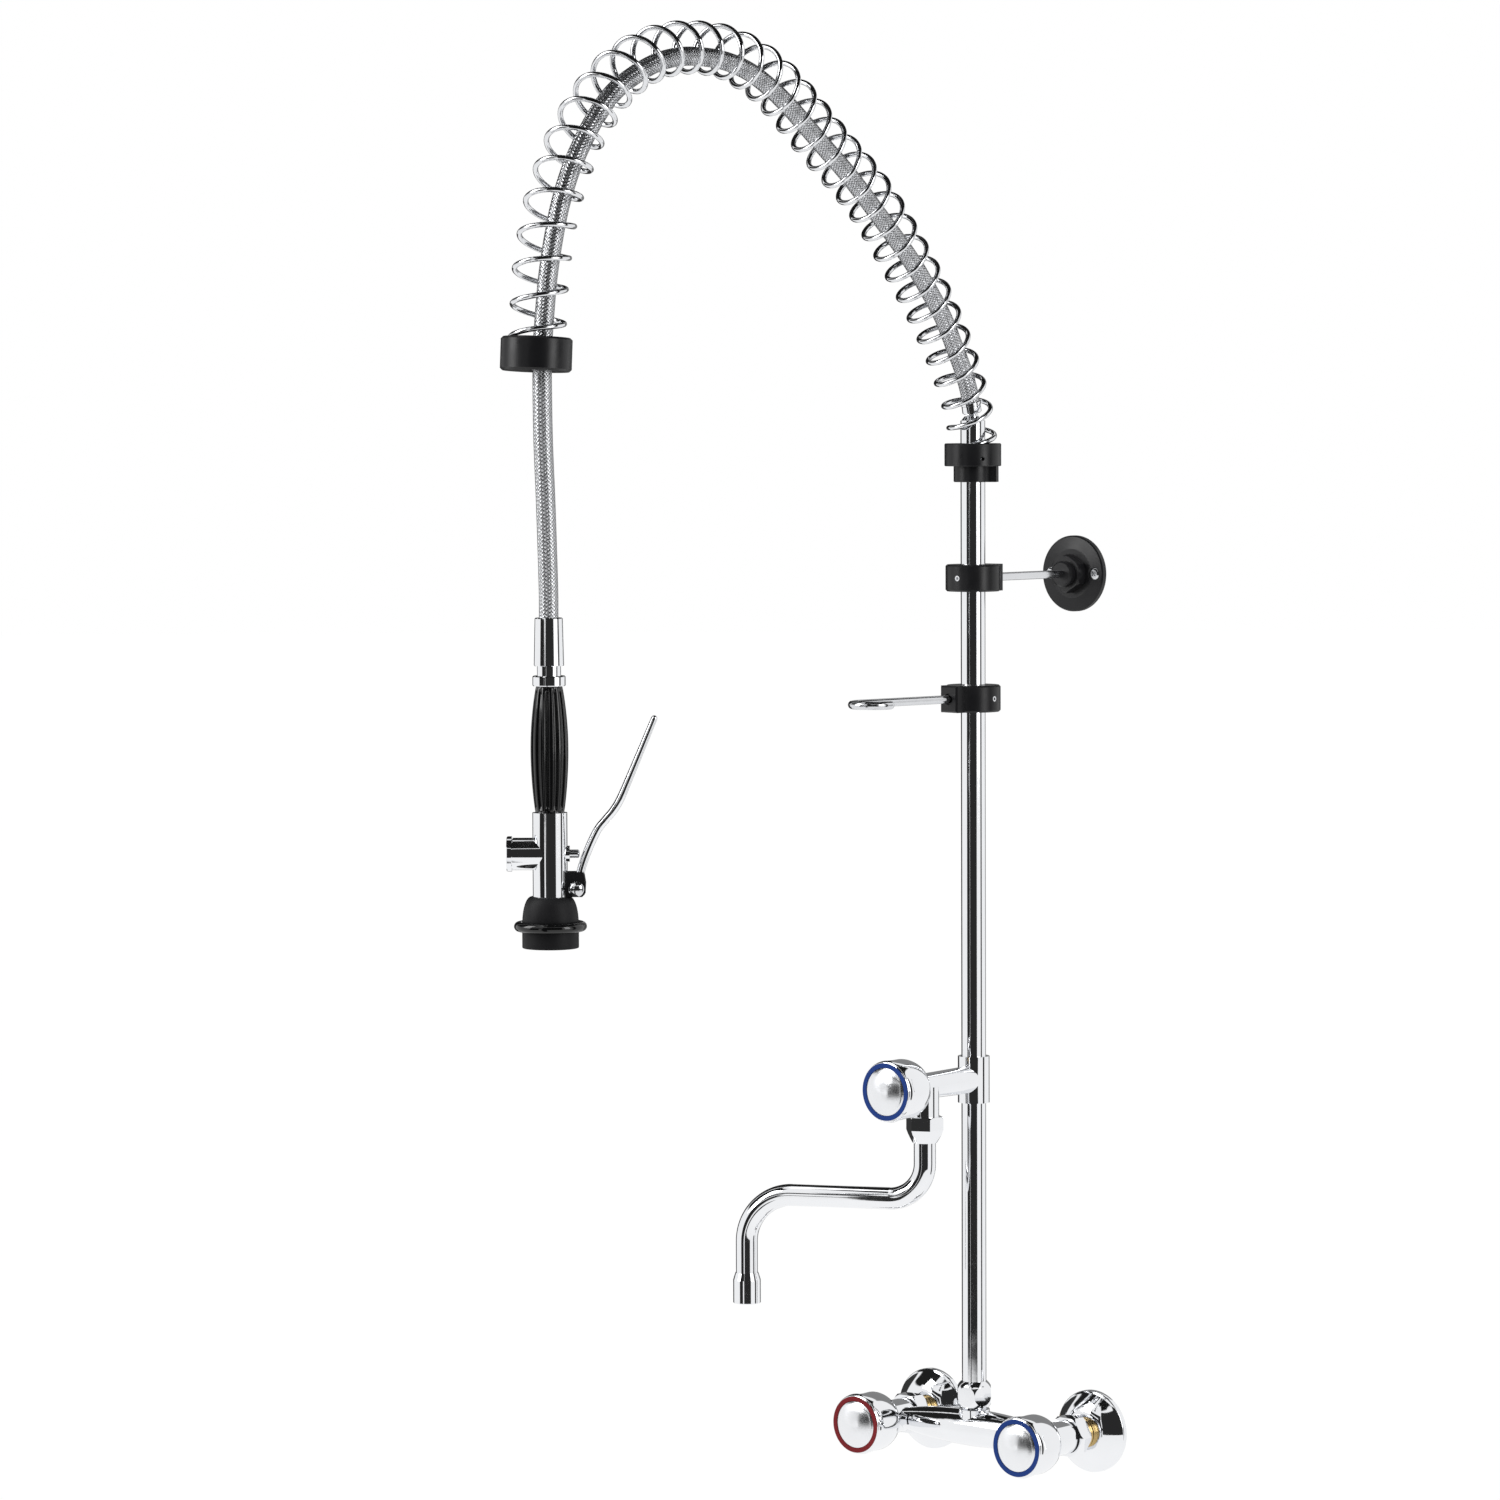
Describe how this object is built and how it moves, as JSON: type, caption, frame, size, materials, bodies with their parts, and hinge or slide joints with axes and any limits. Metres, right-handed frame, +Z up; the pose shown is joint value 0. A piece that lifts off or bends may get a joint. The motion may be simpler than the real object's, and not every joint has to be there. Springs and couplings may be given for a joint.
{
  "type": "pre-rinse faucet",
  "caption": "Wall-mounted pre-rinse faucet: two-knob mixer, tall riser with a valved swing spout, spring arch with a braided hose and trigger spray gun, gun hook and wall bracket.",
  "frame": {"origin": "on the wall plane, midway between the two inlet axes", "axes": "+X right along the wall, -Y out of the wall towards the user, +Z up"},
  "size_m": [0.2365, 0.613, 1.0416],
  "materials": {
    "chrome": "polished",
    "spring_chrome": "polished wire",
    "steel": "plain",
    "braid": "woven wire braid",
    "brass": "machined",
    "black_plastic": "satin",
    "grip_black": "glossy",
    "black_rubber": "matte",
    "red_ring": "glossy",
    "blue_ring": "glossy"
  },
  "bodies": {
    "base": {"mixer_body": "chrome", "inlet_unions": "brass", "union_nuts": "chrome", "union_gaskets": "black_rubber", "rosettes": "chrome", "hot_headwork": "brass", "cold_headwork": "brass", "spout_headwork": "brass", "riser_nut": "chrome", "lower_riser": "chrome", "valve_tee": "chrome", "upper_riser": "chrome", "spout_nut": "chrome", "spout_seal": "black_rubber", "wall_collar": "black_plastic", "wall_collar_screw": "steel", "wall_rod": "steel", "wall_hub": "black_plastic", "wall_plate": "black_plastic", "wall_plate_screws": "steel"},
    "hot_handle": {"hot_knob": "chrome", "hot_index_ring": "red_ring", "hot_cap": "chrome", "hot_spindle": "brass"},
    "cold_handle": {"cold_knob": "chrome", "cold_index_ring": "blue_ring", "cold_cap": "chrome", "cold_spindle": "brass"},
    "spout_handle": {"spout_knob": "chrome", "spout_index_ring": "blue_ring", "spout_cap": "chrome", "spout_spindle": "brass"},
    "swing_spout": {"spout_tube": "chrome", "aerator_shell": "chrome", "aerator_insert": "steel"},
    "arch": {"base_cup": "black_plastic", "base_cup_screw": "steel", "hose_tail": "chrome", "upper_ferrule": "chrome", "arch_spring": "spring_chrome", "hose": "braid", "spring_cup": "black_plastic", "lower_ferrule": "chrome"},
    "gun": {"gun_sleeve": "chrome", "gun_neck": "chrome", "grip": "grip_black", "gun_body": "chrome", "chamber_cap": "chrome", "valve_spring": "steel", "nozzle_dome": "black_rubber", "bumper_ring": "grip_black", "spray_plate": "steel", "lever_bracket": "black_plastic", "pivot_screw": "steel"},
    "lever": {"gun_lever": "chrome"},
    "plunger": {"valve_plunger": "steel"},
    "hook": {"hook_collar": "black_plastic", "hook_rod": "steel", "hook_screw": "steel"}
  },
  "joints": [
    {"name": "hot_turn", "type": "hinge", "parent": "base", "child": "hot_handle", "pos_m": [-0.075, -0.076, 0], "axis": [0, -1, 0], "range_deg": [0, 90]},
    {"name": "cold_turn", "type": "hinge", "parent": "base", "child": "cold_handle", "pos_m": [0.075, -0.076, 0], "axis": [0, -1, 0], "range_deg": [0, 90]},
    {"name": "spout_turn", "type": "hinge", "parent": "base", "child": "spout_handle", "pos_m": [0, -0.132, 0.257], "axis": [0, -1, 0], "range_deg": [0, 90]},
    {"name": "spout_swivel", "type": "hinge", "parent": "base", "child": "swing_spout", "pos_m": [0, -0.103, 0.2], "axis": [0, 0, 1], "range_deg": [-60, 190]},
    {"name": "arch_swivel", "type": "hinge", "parent": "base", "child": "arch", "pos_m": [0, -0.046, 0.71], "axis": [0, 0, 1], "range_deg": [-60, 60]},
    {"name": "gun_swivel", "type": "hinge", "parent": "arch", "child": "gun", "pos_m": [0, -0.501, 0.55], "axis": [0, 0, 1], "continuous": true},
    {"name": "lever_squeeze", "type": "hinge", "parent": "gun", "child": "lever", "pos_m": [0.01348, -0.48969, 0.4273], "axis": [0.6428, -0.766, 0], "range_deg": [0, 12], "stiffness_Nm_per_rad": 4, "springref_deg": -5.73},
    {"name": "plunger_slide", "type": "slide", "parent": "gun", "child": "plunger", "axis": [-0.766, -0.6428, 0], "range_m": [0, 0.005], "deforming": ["valve_spring"]},
    {"name": "hook_swivel", "type": "hinge", "parent": "base", "child": "hook", "pos_m": [0, -0.046, 0.5355], "axis": [0, 0, 1], "range_deg": [-90, 90]}
  ],
  "couplings": [
    {"joint": "plunger_slide", "follows": "lever_squeeze", "m_per_rad": 0.0233}
  ]
}
